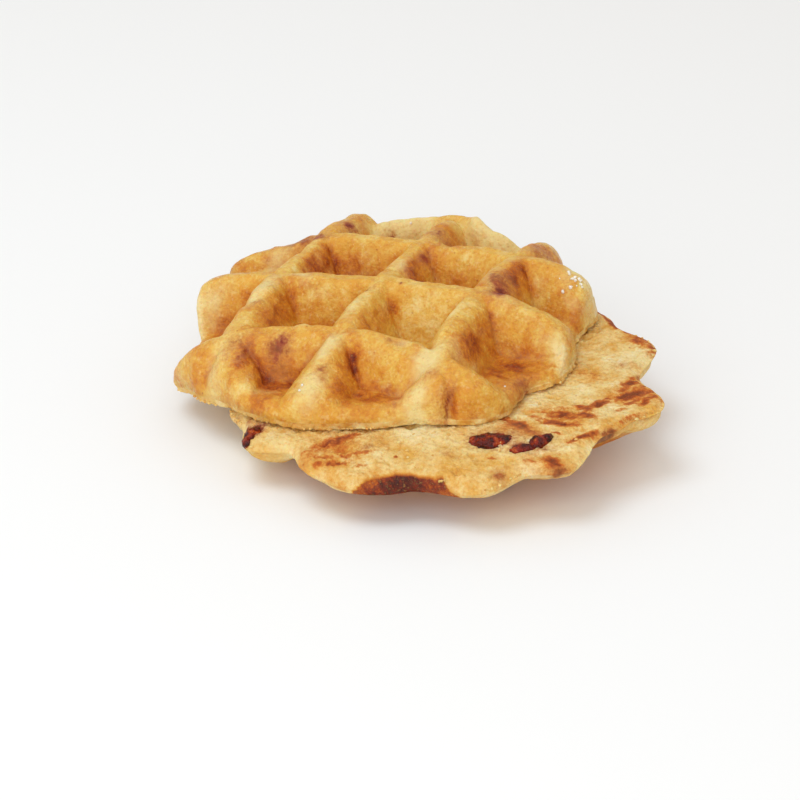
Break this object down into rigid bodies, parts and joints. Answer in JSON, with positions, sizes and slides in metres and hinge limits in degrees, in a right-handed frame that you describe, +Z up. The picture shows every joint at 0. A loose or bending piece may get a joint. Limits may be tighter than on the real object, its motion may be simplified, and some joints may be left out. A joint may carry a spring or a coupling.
{
  "type": "waffle",
  "caption": "Small pearl-sugar waffle with berry bits, cut level into halves: the lower lies cut face up, the upper lies askew on it with its grid up.",
  "frame": {"origin": "bottom centre of the stack's bounding box, on the surface it stands on", "axes": "+Z up out of the upper half's grid, +X to the right as shown, -Y towards the viewer"},
  "size_m": [0.117, 0.1208, 0.0326],
  "materials": {
    "griddled_crust": "golden brown baked crust, satin, paler on the crests and darker in the creases",
    "cut_crumb": "pale yellow crumb, matt, with browned toast marks",
    "cooked_berry": "dark red cooked berry, glossy"
  },
  "bodies": {
    "root": {"upper_half": "griddled_crust", "lower_half": "cut_crumb", "berry_1": "cooked_berry", "berry_2": "cooked_berry", "berry_3": "cooked_berry"}
  },
  "joints": []
}
